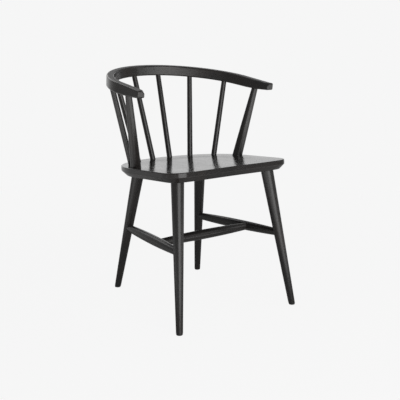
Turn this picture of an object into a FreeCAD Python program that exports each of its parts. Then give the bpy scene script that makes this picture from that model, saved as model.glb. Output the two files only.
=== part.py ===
"""Low-back wooden armchair with a solid seat, four legs, an H-stretcher and a bent arm bow.

Millimetres, +Z up. The chair faces -Y, and left is -X, as seen from the front.
While the pieces are made, x = 0 is the plane of symmetry, z = 0 is the floor and
y = 0 is the seat's widest line. At the end the whole chair is moved so that the
origin is under the middle of its bounding box.
"""
import FreeCAD
import Part
import math
import os

Vector = FreeCAD.Vector

# Seat: a saddled slab whose flat deck leans back
SEAT_HEIGHT = 454.0
SEAT_LEAN = 5.0
SEAT_THICKNESS = 30.0
SEAT_WIDTH = 441.0
SEAT_FRONT = 202.0
SEAT_REAR = 243.0
FRONT_HOLLOW = 3.0
FRONT_CORNER = 58.0
CORNER_FULLNESS = 0.6
BACK_ROUND_START = 30.0
BACK_FULLNESS = 0.60
UNDERCUT = 15.5
RIM_ROUND = 2.5
UNDERCUT_ROUND = 2.0

# Dish in the seat: a sunk floor inside a flat deck, open to the front as two thigh hollows
DISH_DEPTH = 1.6
THIGH_DEPTH = 0.6
DECK_SIDE = 42.0
DECK_BACK = 56.0
DISH_WALL = 50.0
DISH_SQUARENESS = 2.4
FRONT_RUN = 150.0
POMMEL_WIDTH = 52.0
POMMEL_RUN = 130.0
SURFACE_STEP = 11.0

# Legs: straight-tapered round legs, splayed to the sides and raked fore and aft. Their
# sockets are set in from the seat's side and from its front or rear edge.
LEG_TOP_DIAMETER = 39.3
LEG_FOOT_DIAMETER = 20.6
FRONT_INSET = (53.0, 55.0)
FRONT_SPLAY = (49.5, 83.5)
REAR_INSET = (98.6, 84.8)
REAR_SPLAY = (44.5, 77.0)
FRONT_SOCKET = (SEAT_WIDTH / 2 - FRONT_INSET[0], -SEAT_FRONT + FRONT_INSET[1])
FRONT_FOOT = (FRONT_SOCKET[0] + FRONT_SPLAY[0], FRONT_SOCKET[1] - FRONT_SPLAY[1])
REAR_SOCKET = (SEAT_WIDTH / 2 - REAR_INSET[0], SEAT_REAR - REAR_INSET[1])
REAR_FOOT = (REAR_SOCKET[0] + REAR_SPLAY[0], REAR_SOCKET[1] + REAR_SPLAY[1])
LEG_TENON_DIAMETER = 24.0
LEG_TENON_LENGTH = 19.0

# Glides nailed under the legs
GLIDE_THICKNESS = 4.5
GLIDE_INSET = 0.6
GLIDE_ROUND = 1.2
NAIL_DIAMETER = 2.6
NAIL_LENGTH = 14.0

# Stretchers: two run fore and aft between the legs, one crosses between them
FRONT_STRETCHER_HEIGHT = 234.5
REAR_STRETCHER_HEIGHT = 216.5
STRETCHER_END_DIAMETER = 22.0
STRETCHER_MID_DIAMETER = 31.0
CROSS_POSITION = 0.64
STRETCHER_TENON_DIAMETER = 14.0
STRETCHER_TENON_PAST_AXIS = 3.0

# Arm bow: one flat bent piece that rises towards the back, with its arms thinned below
# and the inner top corner of each arm's end cut off (across, along and down)
BOW_ABOVE_SEAT = 250.5
BOW_HEIGHT = SEAT_HEIGHT + BOW_ABOVE_SEAT
BOW_RISE = 7.1
BOW_THICKNESS = 33.2
BOW_DEPTH = 24.0
BOW_OVERHANG = 16.2
BOW_HALF_WIDTH = SEAT_WIDTH / 2 + BOW_OVERHANG
BOW_ARM_END = -75.0
BOW_ARM_FLARE = 2.5
BOW_BEND_START = 52.0
BOW_BEND_LENGTH = 256.0
BOW_FULLNESS = 0.536
ARM_END_THICKNESS = 21.2
ARM_THINNING_START = 90.0
ARM_CORNER_CUT = (11.0, 15.5, 10.5)
BOW_ROUND = 4.0

# Arm posts and spindles: their places on the seat's deck (for spindles out from the middle
# and in from the rear edge), how far round from the middle of the back they meet the bow,
# and how far outward of the bow's centre line
POST_INSET = 24.2
POST_FOOT = (SEAT_WIDTH / 2 - POST_INSET, 41.0)
POST_TOP_REACH = 440.0
POST_TOP_OFFSET = 1.7
POST_FOOT_DIAMETER = 32.3
POST_TOP_DIAMETER = 19.6
POST_SWELL = 1.0
POST_FOOT_TENON = 19.0
POST_TOP_TENON = 12.0
SPINDLE_OUT = (162.5, 103.0, 33.5)
SPINDLE_INSET = (113.5, 55.0, 33.0)
SPINDLE_TOP_REACH = (288.0, 159.5, 48.0)
SPINDLE_TOP_OFFSET = (-2.5, -0.5, 0.0)
SPINDLE_FOOT_DIAMETER = 18.2
SPINDLE_TOP_DIAMETER = 16.8
SPINDLE_SWELL = 0.3
SPINDLE_FOOT_TENON = 11.0
SPINDLE_TOP_TENON = 9.5
SEAT_TENON_LENGTH = 18.0
BOW_TENON_LENGTH = 17.0

# Fits: glue line round each tenon, depth left in each bore, and gap under each shoulder
GLUE_GAP = 0.15
BORE_RUNOUT = 1.0
SHOULDER_GAP = 0.1

SIDES = (("left", -1), ("right", 1))
BIG = 1500.0
SPARE = 1.0
LEVEL_TOLERANCE = 0.01


def smooth_step(value):
    """Rise from 0 to 1 with level ends."""
    clamped = min(max(value, 0.0), 1.0)
    return clamped * clamped * (3.0 - 2.0 * clamped)


def seat_placement():
    """Frame of the seat: its deck is z = 0."""
    lean = FreeCAD.Rotation(Vector(1, 0, 0), -SEAT_LEAN)
    return FreeCAD.Placement(Vector(0, 0, SEAT_HEIGHT), lean)


def bow_placement():
    """Frame of the bow: its flat top is z = 0."""
    rise = FreeCAD.Rotation(Vector(1, 0, 0), BOW_RISE)
    return FreeCAD.Placement(Vector(0, 0, BOW_HEIGHT), rise)


def placed(shape, placement):
    """Return the shape moved from a piece's own frame to the chair's."""
    moved = shape.copy()
    moved.transformShape(placement.toMatrix())
    return moved


def bezier(*poles):
    """Edge along a Bezier curve through its first and last pole."""
    curve = Part.BezierCurve()
    curve.setPoles(list(poles))
    return curve.toShape()


def level_block(bottom, top):
    """Large block between two heights, used to trim pieces."""
    return Part.makeBox(2 * BIG, 2 * BIG, top - bottom, Vector(-BIG, -BIG, bottom))


# Seat


def seat_outline():
    """Closed outline of the seat in its own frame."""
    half = SEAT_WIDTH / 2
    corner_x = half - FRONT_CORNER
    corner_y = -SEAT_FRONT - FRONT_HOLLOW
    slope = 2 * FRONT_HOLLOW / corner_x
    reach = CORNER_FULLNESS * FRONT_CORNER
    side_start = corner_y + FRONT_CORNER
    rise = SEAT_REAR - BACK_ROUND_START

    def corner(side):
        return bezier(
            Vector(side * corner_x, corner_y, 0),
            Vector(side * (corner_x + reach), corner_y - slope * reach, 0),
            Vector(side * half, side_start - reach, 0),
            Vector(side * half, side_start, 0),
        )

    def flank(side):
        return Part.makeLine(
            Vector(side * half, side_start, 0),
            Vector(side * half, BACK_ROUND_START, 0),
        )

    def back(side):
        return bezier(
            Vector(side * half, BACK_ROUND_START, 0),
            Vector(side * half, BACK_ROUND_START + BACK_FULLNESS * rise, 0),
            Vector(side * BACK_FULLNESS * half, SEAT_REAR, 0),
            Vector(0, SEAT_REAR, 0),
        )

    front = bezier(
        Vector(-corner_x, corner_y, 0),
        Vector(0, -SEAT_FRONT + FRONT_HOLLOW, 0),
        Vector(corner_x, corner_y, 0),
    )
    edges = [front]
    for side in (-1, 1):
        edges += [corner(side), flank(side), back(side)]
    return Part.Wire(Part.__sortEdges__(edges))


def dish_depth(x, y):
    """Depth of the seat's top below its flat deck."""
    half = SEAT_WIDTH / 2 - DECK_SIDE
    rear = SEAT_REAR - DECK_BACK
    across = abs(x) / half
    along = max(y, 0.0) / rear
    reach = (across ** DISH_SQUARENESS + along ** DISH_SQUARENESS) ** (1 / DISH_SQUARENESS)
    wall = smooth_step((1 - reach) * half / DISH_WALL)
    from_front = y + SEAT_FRONT
    depth = THIGH_DEPTH + (DISH_DEPTH - THIGH_DEPTH) * smooth_step(from_front / FRONT_RUN)
    pommel = math.exp(-((x / POMMEL_WIDTH) ** 2)) * (1 - smooth_step(from_front / POMMEL_RUN))
    return depth * wall * (1 - pommel)


def seat_top_tool():
    """Solid whose underside is the finished top of the seat."""
    margin = SURFACE_STEP
    width = SEAT_WIDTH + 2 * margin
    length = SEAT_FRONT + SEAT_REAR + 2 * margin
    columns = round(width / SURFACE_STEP) + 1
    rows = round(length / SURFACE_STEP) + 1
    grid = []
    for i in range(columns):
        x = -width / 2 + width * i / (columns - 1)
        line = []
        for j in range(rows):
            y = -SEAT_FRONT - margin + length * j / (rows - 1)
            line.append(Vector(x, y, -dish_depth(x, y)))
        grid.append(line)
    surface = Part.BSplineSurface()
    surface.interpolate(grid)
    return surface.toShape().extrude(Vector(0, 0, SEAT_THICKNESS))


def edges_at_height(solid, height):
    """Edges of a solid that lie wholly at one height."""
    found = []
    for edge in solid.Edges:
        box = edge.BoundBox
        if max(abs(box.ZMin - height), abs(box.ZMax - height)) < LEVEL_TOLERANCE:
            found.append(edge)
    return found


def seat_blank():
    """Seat without its sockets, in its own frame."""
    face = Part.Face(seat_outline())
    face.translate(Vector(0, 0, -SEAT_THICKNESS))
    slab = face.extrude(Vector(0, 0, SEAT_THICKNESS + SPARE))
    slab = slab.makeChamfer(UNDERCUT, edges_at_height(slab, -SEAT_THICKNESS))
    border = edges_at_height(slab, -SEAT_THICKNESS) + edges_at_height(slab, UNDERCUT - SEAT_THICKNESS)
    slab = slab.makeFillet(UNDERCUT_ROUND, border)
    slab = slab.cut(seat_top_tool())
    rim = []
    for edge in slab.Edges:
        if edge.BoundBox.ZMin > -2 * DISH_DEPTH and len(edge.Vertexes) == 2:
            rim.append(edge)
    return slab.makeFillet(RIM_ROUND, rim)


def deck_point(x, y):
    """Point on the seat's deck, in the chair's frame."""
    return seat_placement().multVec(Vector(x, y, 0))


def underside_point(x, y):
    """Point on the seat's flat underside, in the chair's frame."""
    return seat_placement().multVec(Vector(x, y, -SEAT_THICKNESS))


# Legs, glides and stretchers


class Leg:
    """Axis and taper of one leg, from the floor to the seat's underside."""

    def __init__(self, foot, socket, side):
        self.foot = Vector(side * foot[0], foot[1], 0)
        self.top = underside_point(side * socket[0], socket[1])
        self.length = (self.top - self.foot).Length
        self.direction = (self.top - self.foot).normalize()

    def point_at(self, height):
        """Point on the axis at a height above the floor."""
        return self.foot + self.direction * (height / self.direction.z)

    def cone(self, grow=0.0):
        """Tapered body that runs past both ends of the leg."""
        past = LEG_TOP_DIAMETER
        slope = (LEG_TOP_DIAMETER - LEG_FOOT_DIAMETER) / 2 / self.length
        low = LEG_FOOT_DIAMETER / 2 - slope * past + grow
        high = LEG_TOP_DIAMETER / 2 + slope * past + grow
        start = self.foot - self.direction * past
        return Part.makeCone(low, high, self.length + 2 * past, start, self.direction)

    def tenon(self, grow=0.0, runout=0.0):
        """Round tenon at the top, or with a gap and runout the bore for it."""
        rooted = LEG_TENON_LENGTH
        start = self.top - self.direction * rooted
        length = rooted + LEG_TENON_LENGTH + runout
        return Part.makeCylinder(LEG_TENON_DIAMETER / 2 + grow, length, start, self.direction)

    def nail(self, grow=0.0, runout=0.0):
        """Nail of the glide, or with a gap and runout the bore for it."""
        start = self.point_at(GLIDE_THICKNESS / 2)
        length = NAIL_LENGTH + runout
        return Part.makeCylinder(NAIL_DIAMETER / 2 + grow, length, start, self.direction)

    def glide(self):
        """Flat round glide on the floor with its nail."""
        centre = self.point_at(GLIDE_THICKNESS / 2)
        radius = LEG_FOOT_DIAMETER / 2 - GLIDE_INSET
        base = Vector(centre.x, centre.y, 0)
        disc = Part.makeCylinder(radius, GLIDE_THICKNESS, base)
        disc = disc.makeFillet(GLIDE_ROUND, edges_at_height(disc, 0.0))
        return disc.fuse(self.nail()).removeSplitter()


def turned_bar(start, end, radii):
    """Round bar between two axis points, given its radius at the start, middle and end."""
    length = (end - start).Length
    first, middle, last = radii
    profile = [
        Vector(first, 0, 0),
        Vector(middle, 0, length / 2),
        Vector(last, 0, length),
    ]
    outline = Part.Wire([
        Part.makeLine(Vector(0, 0, 0), profile[0]),
        Part.Arc(*profile).toShape(),
        Part.makeLine(profile[2], Vector(0, 0, length)),
        Part.makeLine(Vector(0, 0, length), Vector(0, 0, 0)),
    ])
    bar = Part.Face(outline).revolve(Vector(0, 0, 0), Vector(0, 0, 1), 360)
    turn = FreeCAD.Rotation(Vector(0, 0, 1), end - start)
    return placed(Part.Solid(bar), FreeCAD.Placement(start, turn))


def stretcher_body(start, end, grow=0.0):
    """Bar that swells to its middle, from one axis point to another."""
    thin = STRETCHER_END_DIAMETER / 2 + grow
    thick = STRETCHER_MID_DIAMETER / 2 + grow
    return turned_bar(start, end, (thin, thick, thin))


def stretcher_tenon(start, end, grow=0.0, runout=0.0):
    """Tenon core that runs past both axis points, or the bore for it."""
    direction = (end - start).normalize()
    past = STRETCHER_TENON_PAST_AXIS + runout
    length = (end - start).Length + 2 * past
    radius = STRETCHER_TENON_DIAMETER / 2 + grow
    return Part.makeCylinder(radius, length, start - direction * past, direction)


def stretcher(start, end, carriers):
    """Stretcher whose ends are coped to the round pieces that carry it."""
    bar = stretcher_body(start, end)
    for carrier in carriers:
        bar = bar.cut(carrier)
    return bar.fuse(stretcher_tenon(start, end)).removeSplitter()


# Arm bow


def bow_edges(offset, side):
    """Arm and bend of one half of the bow, at an offset outward from its centre line."""
    half = BOW_HALF_WIDTH + offset
    bend = BOW_BEND_LENGTH + offset
    middle = (BOW_ARM_END + BOW_BEND_START) / 2
    arm = bezier(
        Vector(side * (half + BOW_ARM_FLARE), BOW_ARM_END, 0),
        Vector(side * half, middle, 0),
        Vector(side * half, BOW_BEND_START, 0),
    )
    back = bezier(
        Vector(side * half, BOW_BEND_START, 0),
        Vector(side * half, BOW_BEND_START + BOW_FULLNESS * bend, 0),
        Vector(side * BOW_FULLNESS * half, BOW_BEND_START + bend, 0),
        Vector(0, BOW_BEND_START + bend, 0),
    )
    return [arm, back]


def thinning_tool():
    """Block that thins the arms from below towards their ends."""
    past = BOW_THICKNESS
    middle = (ARM_THINNING_START + BOW_ARM_END) / 2
    end = Vector(0, BOW_ARM_END, -ARM_END_THICKNESS)
    slope = (BOW_THICKNESS - ARM_END_THICKNESS) / (middle - BOW_ARM_END)
    outer = Vector(0, BOW_ARM_END - past, -ARM_END_THICKNESS + slope * past)
    outer_low = Vector(0, outer.y, -BOW_THICKNESS - past)
    start = Vector(0, ARM_THINNING_START, -BOW_THICKNESS)
    start_low = Vector(0, start.y, outer_low.z)
    outline = Part.Wire([
        bezier(start, Vector(0, middle, -BOW_THICKNESS), end),
        Part.makeLine(end, outer),
        Part.makeLine(outer, outer_low),
        Part.makeLine(outer_low, start_low),
        Part.makeLine(start_low, start),
    ])
    width = 2 * (BOW_HALF_WIDTH + BOW_ARM_FLARE + BOW_DEPTH)
    block = Part.Face(outline).extrude(Vector(width, 0, 0))
    block.translate(Vector(-width / 2, 0, 0))
    return block


def corner_tool(side):
    """Block that takes the inner top corner off one arm's end."""
    across, along, down = ARM_CORNER_CUT
    corner = Vector(side * (BOW_HALF_WIDTH + BOW_ARM_FLARE - BOW_DEPTH / 2), BOW_ARM_END, 0)
    reaches = (Vector(side * across, 0, 0), Vector(0, along, 0), Vector(0, 0, -down))
    inward = (reaches[1] - reaches[0]).cross(reaches[2] - reaches[0]) * side
    size = 2 * BOW_DEPTH
    block = Part.makeBox(size, size, size, Vector(-size / 2, -size / 2, 0))
    turn = FreeCAD.Rotation(Vector(0, 0, 1), inward)
    middle = corner + (reaches[0] + reaches[1] + reaches[2]) * (1 / 3)
    return placed(block, FreeCAD.Placement(middle, turn))


def bow_blank():
    """Bow without its sockets, in the chair's frame."""
    edges = []
    for side in (-1, 1):
        outer = BOW_HALF_WIDTH + BOW_ARM_FLARE + BOW_DEPTH / 2
        edges += bow_edges(BOW_DEPTH / 2, side)
        edges += bow_edges(-BOW_DEPTH / 2, side)
        edges.append(Part.makeLine(
            Vector(side * outer, BOW_ARM_END, 0),
            Vector(side * (outer - BOW_DEPTH), BOW_ARM_END, 0),
        ))
    outline = Part.Wire(Part.__sortEdges__(edges))
    bow = Part.Face(outline).extrude(Vector(0, 0, -BOW_THICKNESS))
    bow = bow.cut(thinning_tool())
    for side in (-1, 1):
        bow = bow.cut(corner_tool(side))
    bow = bow.makeFillet(BOW_ROUND, bow.Edges)
    return placed(bow, bow_placement())


def tenon_middle(side, reach, offset):
    """Point midway up a bow tenon, at a distance round from the back's middle and an offset
    outward from the bow's centre line."""
    arm, back = bow_edges(offset, side)
    if reach < back.Length:
        local = back.valueAt(back.getParameterByLength(back.Length - reach))
    else:
        local = arm.valueAt(arm.getParameterByLength(arm.Length + back.Length - reach))
    thickness = BOW_THICKNESS
    if local.y < ARM_THINNING_START:
        ahead = (ARM_THINNING_START - local.y) / (ARM_THINNING_START - BOW_ARM_END)
        thickness -= (BOW_THICKNESS - ARM_END_THICKNESS) * ahead ** 2
    local.z = BOW_TENON_LENGTH / 2 - thickness
    return bow_placement().multVec(local)


# Posts and spindles


class Rod:
    """Round tapered rod between the seat's deck and the bow's underside."""

    def __init__(self, foot, tenon_centre, diameters, swell, tenons):
        self.foot = foot
        self.direction = (tenon_centre - foot).normalize()
        self.top = tenon_centre - self.direction * (BOW_TENON_LENGTH / 2)
        self.length = (self.top - foot).Length
        self.diameters = diameters
        self.swell = swell
        self.tenons = tenons

    def body(self):
        """Tapered body that runs a little past both ends."""
        past = max(self.diameters) / 2
        slope = (self.diameters[1] - self.diameters[0]) / 2 / self.length
        low = self.diameters[0] / 2 - slope * past
        high = self.diameters[1] / 2 + slope * past
        radii = (low, (low + high + self.swell) / 2, high)
        return turned_bar(self.foot - self.direction * past, self.top + self.direction * past, radii)

    def seat_tenon(self, grow=0.0, runout=0.0):
        """Tenon in the seat, or the bore for it."""
        length = SEAT_TENON_LENGTH + runout
        rooted = SEAT_TENON_LENGTH
        start = self.foot - self.direction * length
        return Part.makeCylinder(self.tenons[0] / 2 + grow, length + rooted, start, self.direction)

    def bow_tenon(self, grow=0.0, runout=0.0):
        """Tenon in the bow, or the bore for it."""
        rooted = BOW_TENON_LENGTH
        start = self.top - self.direction * rooted
        length = rooted + BOW_TENON_LENGTH + runout
        return Part.makeCylinder(self.tenons[1] / 2 + grow, length, start, self.direction)

    def solid(self, bow):
        """Finished rod, with shoulders that meet the deck and the bow."""
        below_deck = placed(level_block(-BIG, SHOULDER_GAP), seat_placement())
        lowered_bow = bow.copy()
        lowered_bow.translate(self.direction * -SHOULDER_GAP)
        rod = self.body().cut(below_deck).cut(lowered_bow)
        rod = max(rod.Solids, key=lambda solid: solid.Volume)
        return rod.fuse([self.seat_tenon(), self.bow_tenon()]).removeSplitter()


def arm_posts():
    """Both arm posts by name."""
    posts = {}
    for name, side in SIDES:
        foot = deck_point(side * POST_FOOT[0], POST_FOOT[1])
        top = tenon_middle(side, POST_TOP_REACH, POST_TOP_OFFSET)
        diameters = (POST_FOOT_DIAMETER, POST_TOP_DIAMETER)
        tenons = (POST_FOOT_TENON, POST_TOP_TENON)
        posts[name + "_arm_post"] = Rod(foot, top, diameters, POST_SWELL, tenons)
    return posts


def spindles():
    """The back spindles by name, counted from the left post round to the right one."""
    places = list(zip(SPINDLE_OUT, SPINDLE_INSET, SPINDLE_TOP_REACH, SPINDLE_TOP_OFFSET))
    ring = [(-1, place) for place in places] + [(1, place) for place in reversed(places)]
    rods = {}
    for number, (side, (out, inset, reach, offset)) in enumerate(ring, start=1):
        foot = deck_point(side * out, SEAT_REAR - inset)
        top = tenon_middle(side, reach, offset)
        diameters = (SPINDLE_FOOT_DIAMETER, SPINDLE_TOP_DIAMETER)
        tenons = (SPINDLE_FOOT_TENON, SPINDLE_TOP_TENON)
        rods["back_spindle_%d" % number] = Rod(foot, top, diameters, SPINDLE_SWELL, tenons)
    return rods


def build():
    """All pieces of the chair, as a dictionary of node names and solids."""
    pieces = {}
    seat = placed(seat_blank(), seat_placement())
    bow = bow_blank()
    seat_bores = []
    bow_bores = []

    for name, rod in {**arm_posts(), **spindles()}.items():
        pieces[name] = rod.solid(bow)
        seat_bores.append(rod.seat_tenon(GLUE_GAP, BORE_RUNOUT))
        bow_bores.append(rod.bow_tenon(GLUE_GAP, BORE_RUNOUT))

    lines = {}
    for name, side in SIDES:
        front = Leg(FRONT_FOOT, FRONT_SOCKET, side)
        rear = Leg(REAR_FOOT, REAR_SOCKET, side)
        start = front.point_at(FRONT_STRETCHER_HEIGHT)
        end = rear.point_at(REAR_STRETCHER_HEIGHT)
        lines[name] = (start, end)
        carriers = [front.cone(SHOULDER_GAP), rear.cone(SHOULDER_GAP)]
        pieces[name + "_side_stretcher"] = stretcher(start, end, carriers)
        bore = stretcher_tenon(start, end, GLUE_GAP, BORE_RUNOUT)
        above_seat = placed(level_block(-SEAT_THICKNESS, BIG), seat_placement())
        for place, leg in (("front", front), ("rear", rear)):
            body = leg.cone().cut(level_block(-BIG, GLIDE_THICKNESS)).cut(above_seat)
            body = body.fuse(leg.tenon()).removeSplitter()
            body = body.cut([bore, leg.nail(GLUE_GAP, BORE_RUNOUT)])
            pieces["%s_%s_leg" % (place, name)] = body
            pieces["%s_%s_glide" % (place, name)] = leg.glide()
            seat_bores.append(leg.tenon(GLUE_GAP, BORE_RUNOUT))

    crossing = {}
    for name, (start, end) in lines.items():
        crossing[name] = end + (start - end) * CROSS_POSITION
    ends = (crossing["left"], crossing["right"])
    swollen = [stretcher_body(start, end, SHOULDER_GAP) for start, end in lines.values()]
    pieces["cross_stretcher"] = stretcher(ends[0], ends[1], swollen)
    cross_bore = stretcher_tenon(ends[0], ends[1], GLUE_GAP, BORE_RUNOUT)
    for name in lines:
        key = name + "_side_stretcher"
        pieces[key] = pieces[key].cut(cross_bore)

    pieces["seat"] = seat.cut(seat_bores)
    pieces["arm_bow"] = bow.cut(bow_bores)
    return pieces


def centred(pieces):
    """Move the chair so that the origin is under the middle of its bounding box."""
    box = Part.makeCompound(list(pieces.values())).optimalBoundingBox(False)
    shift = Vector(-(box.XMin + box.XMax) / 2, -(box.YMin + box.YMax) / 2, -box.ZMin)
    for shape in pieces.values():
        shape.translate(shift)
    return pieces


def main():
    os.makedirs("parts", exist_ok=True)
    for name, shape in centred(build()).items():
        solids = shape.Solids
        print(name, "solids", len(solids), "valid", shape.isValid(), "volume", round(shape.Volume))
        shape.exportStep("parts/%s.step" % name)


main()
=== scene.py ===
"""Low-back windsor armchair: black lacquer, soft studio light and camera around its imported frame.

The chair faces -Y, +Z is up and lengths are in metres.
"""
import math

import bpy
import numpy as np
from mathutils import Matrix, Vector

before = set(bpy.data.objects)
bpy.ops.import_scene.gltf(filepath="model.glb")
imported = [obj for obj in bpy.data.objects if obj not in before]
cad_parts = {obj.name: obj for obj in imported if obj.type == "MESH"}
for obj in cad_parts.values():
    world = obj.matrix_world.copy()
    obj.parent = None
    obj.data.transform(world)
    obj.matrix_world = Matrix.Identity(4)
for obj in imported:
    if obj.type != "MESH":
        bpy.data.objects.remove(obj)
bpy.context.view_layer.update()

# Camera, as fitted to the photograph
CAMERA_PLACE = (-1.3284, -1.9785, 0.8838)
CAMERA_HEADING = math.radians(34.737)
CAMERA_DIP = math.radians(13.274)
CAMERA_LENS = 67.54
CAMERA_SENSOR = 36.0

# Backdrop behind the chair, the dimmer room round it, and the level of light on everything
BACKDROP = (0.922, 0.922, 0.922, 1.0)
ROOM = (0.26, 0.26, 0.26, 1.0)
FILL = (0.28, 0.28, 0.28, 1.0)
BACKDROP_SIDES = (0.60, 0.93)
BACKDROP_TOP = (0.15, 0.28)

# Floor: it glows like the backdrop where it is seen, and its matt share keeps the shadow
NEAR_FLOOR = (0.990, 0.990, 0.990, 1.0)
FLOOR_PAINT = (0.60, 0.60, 0.60, 1.0)
FLOOR_RADIUS = 3.2
FLOOR_STEPS = 96
FLOOR_FADE = (0.7, 1.9)
SHADOW_SHARE = 0.10
MIRRORED_GLOW = 0.45

# Lights: name, place, aim, width and depth, watts
CHAIR_MIDDLE = (0, 0, 0.45)
SOFTBOXES = [
    ("front_softbox", (-0.35, -2.78, 1.15), CHAIR_MIDDLE, (2.5, 2.3), 50),
    ("right_softbox", (2.35, -1.55, 1.5), CHAIR_MIDDLE, (1.4, 1.4), 7),
    ("front_reflector", (-0.4, -1.75, 0.03), (-0.4, -1.75, 1.0), (5.0, 1.5), 44),
    ("left_reflector", (-1.75, -0.15, 0.03), (-1.75, -0.15, 1.0), (1.7, 1.7), 9),
    ("back_softbox", (0.2, 2.6, 1.9), (0, 0, 0.6), (1.6, 1.2), 7),
]

# Finishes
LACQUER = (0.0140, 0.0134, 0.0131, 1.0)
WARM_LACQUER = (0.0220, 0.0182, 0.0165, 1.0)
PORE_BLACK = (0.006, 0.0057, 0.0055, 1.0)
WORN_WOOD = (0.125, 0.082, 0.054, 1.0)
NYLON = (0.021, 0.021, 0.022, 1.0)
SCUFFED_NYLON = (0.075, 0.073, 0.070, 1.0)
TURNED_ROUGHNESS = 0.27
BOW_ROUGHNESS = 0.25
SEAT_ROUGHNESS = 0.15
NYLON_ROUGHNESS = 0.42

# Grain of the lacquered wood: length along the grain, and width across and through it
PORES = (0.022, 0.0011, 0.0011)
RINGS = (0.34, 0.013, 0.013)
DRIFT = (0.11, 0.075, 0.075)
PEEL = (0.0045, 0.0045, 0.0045)
SPECKS = (0.004, 0.0016, 0.0016)
WEAR_RADIUS = 0.0025
WOOD_RELIEF = 0.00012

# Grain of the moulded glides
MOULD_GRAIN = (0.0006, 0.0006, 0.0006)
NYLON_PATCHES = (0.006, 0.006, 0.004)
NYLON_RELIEF = 0.00006

# Plan of the arm bow's bend, and the seat's glued boards
BOW_HALF_WIDTH = 0.2367
BOW_BEND_START = 0.0115
BOW_BEND_LENGTH = 0.254
BOARD_WIDTH = 0.0882

# Shift of the grain from one board, and from one turned piece, to the next
BOARD_SHIFT_ALONG = 1.7
BOARD_SHIFT_THROUGH = 0.6
TURNED_SHIFT = 0.83

STRAIGHT_PIECES = [
    "left_arm_post", "right_arm_post",
    "front_left_leg", "front_right_leg", "rear_left_leg", "rear_right_leg",
    "left_side_stretcher", "right_side_stretcher", "cross_stretcher",
] + ["back_spindle_%d" % number for number in range(1, 7)]
GLIDES = ["front_left_glide", "front_right_glide", "rear_left_glide", "rear_right_glide"]


class Value:
    """One output of a node tree. Arithmetic on it adds Math nodes."""

    def __init__(self, shading, socket):
        self.shading = shading
        self.socket = socket

    def maths(self, operation, *operands):
        inputs = dict(enumerate(operands))
        return self.shading.node("ShaderNodeMath", {"operation": operation}, inputs)

    def __add__(self, other):
        return self.maths("ADD", self, other)

    def __radd__(self, other):
        return self.maths("ADD", other, self)

    def __sub__(self, other):
        return self.maths("SUBTRACT", self, other)

    def __rsub__(self, other):
        return self.maths("SUBTRACT", other, self)

    def __mul__(self, other):
        return self.maths("MULTIPLY", self, other)

    def __pow__(self, other):
        return self.maths("POWER", self, other)

    def at_least(self, other):
        return self.maths("MAXIMUM", self, other)

    def at_most(self, other):
        return self.maths("MINIMUM", self, other)

    def ramp(self, low, high):
        """Smooth step from 0 at low to 1 at high."""
        settings = {"interpolation_type": "SMOOTHSTEP"}
        return self.shading.node("ShaderNodeMapRange", settings, {0: self, 1: low, 2: high})


class Shading:
    """Node tree of one material or of the world."""

    def __init__(self, owner):
        owner.use_nodes = True
        self.tree = owner.node_tree
        self.tree.nodes.clear()

    def node(self, kind, settings=None, inputs=None, output=0):
        """Add a node, set its settings and then its sockets, and return one of its outputs."""
        made = self.tree.nodes.new(kind)
        for name, value in (settings or {}).items():
            setattr(made, name, value)
        for name, value in (inputs or {}).items():
            if isinstance(value, Value):
                self.tree.links.new(value.socket, made.inputs[name])
            else:
                made.inputs[name].default_value = value
        return Value(self, made.outputs[output])

    def mixed(self, share, first, second):
        """Colour between two colours."""
        return self.node("ShaderNodeMix", {"data_type": "RGBA"}, {0: share, 6: first, 7: second}, 2)

    def axes(self, vector):
        """X, Y and Z of a vector."""
        split = self.node("ShaderNodeSeparateXYZ", None, {0: vector})
        return tuple(Value(self, output) for output in split.socket.node.outputs)

    def joined(self, x, y, z):
        return self.node("ShaderNodeCombineXYZ", None, {0: x, 1: y, 2: z})

    def place(self):
        """Place in the chair's frame."""
        return self.node("ShaderNodeTexCoord", None, None, "Object")

    def noise(self, along, across, through, sizes, detail=2.0, roughness=0.5):
        """Noise whose features have the given sizes along three coordinates."""
        length, width, depth = sizes
        point = self.joined(along * (1 / length), across * (1 / width), through * (1 / depth))
        inputs = {"Vector": point, "Scale": 1.0, "Detail": detail, "Roughness": roughness}
        return self.node("ShaderNodeTexNoise", None, inputs)

    def edge_wear(self, radius):
        """Mask that is 1 along outside edges, from the difference that a bevel would make."""
        rounded = self.node("ShaderNodeBevel", {"samples": 6}, {"Radius": radius})
        plain = self.node("ShaderNodeNewGeometry", None, None, "Normal")
        settings = {"operation": "DOT_PRODUCT"}
        likeness = self.node("ShaderNodeVectorMath", settings, {0: rounded, 1: plain}, "Value")
        return (1.0 - likeness).ramp(0.01, 0.16)

    def bump(self, height, distance):
        inputs = {"Height": height, "Distance": distance, "Strength": 1.0}
        return self.node("ShaderNodeBump", None, inputs)

    def finish(self, kind, surface):
        output = self.tree.nodes.new(kind)
        self.tree.links.new(surface.socket, output.inputs["Surface"])


def new_material(name):
    material = bpy.data.materials.new(name)
    return material, Shading(material)


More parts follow.
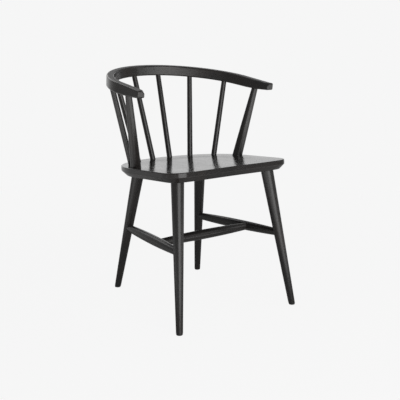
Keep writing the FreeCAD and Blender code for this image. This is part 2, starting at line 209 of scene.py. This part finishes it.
def lacquered_wood(shading, along, across, through, roughness, warmth):
    """Black satin lacquer over open-pored wood, given the grain's three coordinates."""
    pores = shading.noise(along, across, through, PORES, 3.0).ramp(0.56, 0.72)
    rings = shading.noise(along, across, through, RINGS)
    drift = shading.noise(along, across, through, DRIFT)
    peel = shading.noise(along, across, through, PEEL, 1.0)
    specks = shading.noise(along, across, through, SPECKS, 3.0, 0.7)
    edge = shading.edge_wear(WEAR_RADIUS)
    worn = edge * specks.ramp(0.50, 0.66) * drift.ramp(0.42, 0.62)

    tone = shading.mixed((drift.ramp(0.30, 0.72) * warmth).at_most(1.0), LACQUER, WARM_LACQUER)
    tone = shading.mixed(pores * 0.6, tone, PORE_BLACK)
    tone = shading.mixed(edge * 0.35, tone, WARM_LACQUER)
    tone = shading.mixed(worn * 0.55, tone, WORN_WOOD)
    relief = rings * 0.6 + peel * 0.10 - pores * 0.30
    return shading.node("ShaderNodeBsdfPrincipled", None, {
        "Base Color": tone,
        "Roughness": roughness + (drift - 0.5) * 0.10 + pores * 0.06 + edge * 0.04 + worn * 0.20,
        "Normal": shading.bump(relief, WOOD_RELIEF),
        "IOR": 1.5,
    })


def long_axis(node):
    """Middle and turn of a straight piece, whose own z runs along it."""
    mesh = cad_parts[node].data
    points = np.empty(len(mesh.vertices) * 3)
    mesh.vertices.foreach_get("co", points)
    points = points.reshape(-1, 3)
    middle = points.mean(axis=0)
    _, _, directions = np.linalg.svd(points - middle, full_matrices=False)
    axis = Vector(directions[0])
    if axis[int(np.argmax(np.abs(axis)))] < 0:
        axis.negate()
    return Vector(middle), axis.to_track_quat("Z", "Y")


def turned_lacquer(node, grain_shift):
    """Lacquer on a turned piece: the grain runs along the piece's own axis."""
    material, shading = new_material(node + "_lacquer")
    middle, turn = long_axis(node)
    settings = {"vector_type": "TEXTURE"}
    local = shading.node("ShaderNodeMapping", settings, {
        "Vector": shading.place(),
        "Location": middle,
        "Rotation": turn.to_euler(),
    })
    x, y, z = shading.axes(local)
    surface = lacquered_wood(shading, z + grain_shift, x, y, TURNED_ROUGHNESS, 0.8)
    shading.finish("ShaderNodeOutputMaterial", surface)
    return material


def bow_lacquer():
    """Lacquer on the bent bow: the grain follows the arms and the bend."""
    material, shading = new_material("bow_lacquer")
    x, y, z = shading.axes(shading.place())
    ahead = (y - BOW_BEND_START).at_most(0.0)
    behind = (y - BOW_BEND_START).at_least(0.0)
    radius = (BOW_HALF_WIDTH + BOW_BEND_LENGTH) / 2
    turn = behind.maths("ARCTAN2", behind, x)
    side = x.maths("SIGN", x)
    along = turn * radius + side * ahead
    sideways = (x * (1 / BOW_HALF_WIDTH)) ** 2
    backward = (behind * (1 / BOW_BEND_LENGTH)) ** 2
    across = (sideways + backward) ** 0.5 * radius
    surface = lacquered_wood(shading, along, across, z, BOW_ROUGHNESS, 1.0)
    shading.finish("ShaderNodeOutputMaterial", surface)
    return material


def seat_lacquer():
    """Lacquer on the seat: boards glued side by side, with their grain from front to back."""
    material, shading = new_material("seat_lacquer")
    x, y, z = shading.axes(shading.place())
    board = x.maths("FLOOR", x * (1 / BOARD_WIDTH) + 0.5)
    along = y + board * BOARD_SHIFT_ALONG
    through = z + board * BOARD_SHIFT_THROUGH
    surface = lacquered_wood(shading, along, x, through, SEAT_ROUGHNESS, 0.7)
    shading.finish("ShaderNodeOutputMaterial", surface)
    return material


def glide_nylon():
    """Hard black nylon: fine moulded grain, scuffed round the edge that rubs the floor."""
    material, shading = new_material("glide_nylon")
    x, y, z = shading.axes(shading.place())
    grain = shading.noise(x, y, z, MOULD_GRAIN)
    patches = shading.noise(x, y, z, NYLON_PATCHES)
    scuffs = (1.0 - z.ramp(0.0002, 0.0022)) * patches.ramp(0.40, 0.62)
    surface = shading.node("ShaderNodeBsdfPrincipled", None, {
        "Base Color": shading.mixed(scuffs * 0.8, NYLON, SCUFFED_NYLON),
        "Roughness": NYLON_ROUGHNESS + patches * 0.12 + scuffs * 0.15,
        "Normal": shading.bump(grain, NYLON_RELIEF),
    })
    shading.finish("ShaderNodeOutputMaterial", surface)
    return material


def dress(node, material):
    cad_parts[node].data.materials.clear()
    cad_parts[node].data.materials.append(material)


def rays_that_see(shading):
    """1 for rays that see the backdrop: from the camera, off gloss and through glass."""
    total = shading.node("ShaderNodeLightPath", None, None, "Is Camera Ray")
    for name in ("Is Glossy Ray", "Is Transmission Ray"):
        total = total + shading.node("ShaderNodeLightPath", None, None, name)
    return total.at_most(1.0)


def studio_world():
    """Pale backdrop behind the chair in a dimmer room, and a plain level of light."""
    world = bpy.data.worlds.new("studio")
    bpy.context.scene.world = world
    shading = Shading(world)
    x, y, z = shading.axes(shading.node("ShaderNodeTexCoord", None, None, "Generated"))
    direct = shading.node("ShaderNodeLightPath", None, None, "Is Camera Ray")
    away = x * math.sin(CAMERA_HEADING) + y * math.cos(CAMERA_HEADING)
    behind = away.ramp(*BACKDROP_SIDES)
    low = 1.0 - z.ramp(*BACKDROP_TOP)
    backdrop = shading.mixed((behind * low + direct).at_most(1.0), ROOM, BACKDROP)
    colour = shading.mixed(rays_that_see(shading), FILL, backdrop)
    surface = shading.node("ShaderNodeBackground", None, {"Color": colour, "Strength": 1.0})
    shading.finish("ShaderNodeOutputWorld", surface)


def studio_floor():
    """Round pale floor that fades into the backdrop and keeps a faint shadow."""
    mesh = bpy.data.meshes.new("studio_floor")
    rim = []
    for step in range(FLOOR_STEPS):
        angle = 2 * math.pi * step / FLOOR_STEPS
        rim.append((FLOOR_RADIUS * math.cos(angle), FLOOR_RADIUS * math.sin(angle), 0.0))
    mesh.from_pydata(rim, [], [tuple(range(FLOOR_STEPS))])
    floor = bpy.data.objects.new("studio_floor", mesh)
    bpy.context.scene.collection.objects.link(floor)
    material, shading = new_material("studio_floor")
    x, y, z = shading.axes(shading.place())
    distance = (x * x + y * y) ** 0.5
    direct = shading.node("ShaderNodeLightPath", None, None, "Is Camera Ray")
    near = 1.0 - distance.ramp(*FLOOR_FADE)
    mirrored = rays_that_see(shading) - direct
    share = direct * (1.0 - near * SHADOW_SHARE) + mirrored * (1.0 - near) * MIRRORED_GLOW
    glow = shading.node("ShaderNodeEmission", None, {
        "Color": shading.mixed(near, BACKDROP, NEAR_FLOOR),
        "Strength": 1.0,
    })
    matt = shading.node("ShaderNodeBsdfDiffuse", None, {"Color": FLOOR_PAINT})
    surface = shading.node("ShaderNodeMixShader", None, {0: share, 1: matt, 2: glow})
    shading.finish("ShaderNodeOutputMaterial", surface)
    mesh.materials.append(material)


def softbox(name, place, target, size, power):
    light = bpy.data.lights.new(name, "AREA")
    light.shape = "RECTANGLE"
    light.size, light.size_y = size
    light.energy = power
    lamp = bpy.data.objects.new(name, light)
    lamp.visible_camera = False
    bpy.context.scene.collection.objects.link(lamp)
    lamp.location = place
    aim = Vector(target) - Vector(place)
    lamp.rotation_euler = aim.to_track_quat("-Z", "Y").to_euler()


def studio_camera():
    data = bpy.data.cameras.new("camera")
    data.lens = CAMERA_LENS
    data.sensor_width = CAMERA_SENSOR
    camera = bpy.data.objects.new("camera", data)
    bpy.context.scene.collection.objects.link(camera)
    camera.location = CAMERA_PLACE
    camera.rotation_euler = (math.pi / 2 - CAMERA_DIP, 0, -CAMERA_HEADING)
    bpy.context.scene.camera = camera


dress("seat", seat_lacquer())
dress("arm_bow", bow_lacquer())
for number, node in enumerate(STRAIGHT_PIECES):
    dress(node, turned_lacquer(node, number * TURNED_SHIFT))
nylon = glide_nylon()
for node in GLIDES:
    dress(node, nylon)

studio_world()
studio_floor()
for lamp in SOFTBOXES:
    softbox(*lamp)
studio_camera()
bpy.context.scene.view_settings.view_transform = "Standard"


def plain(box):
    return [[float(v) for v in corner] for corner in box]
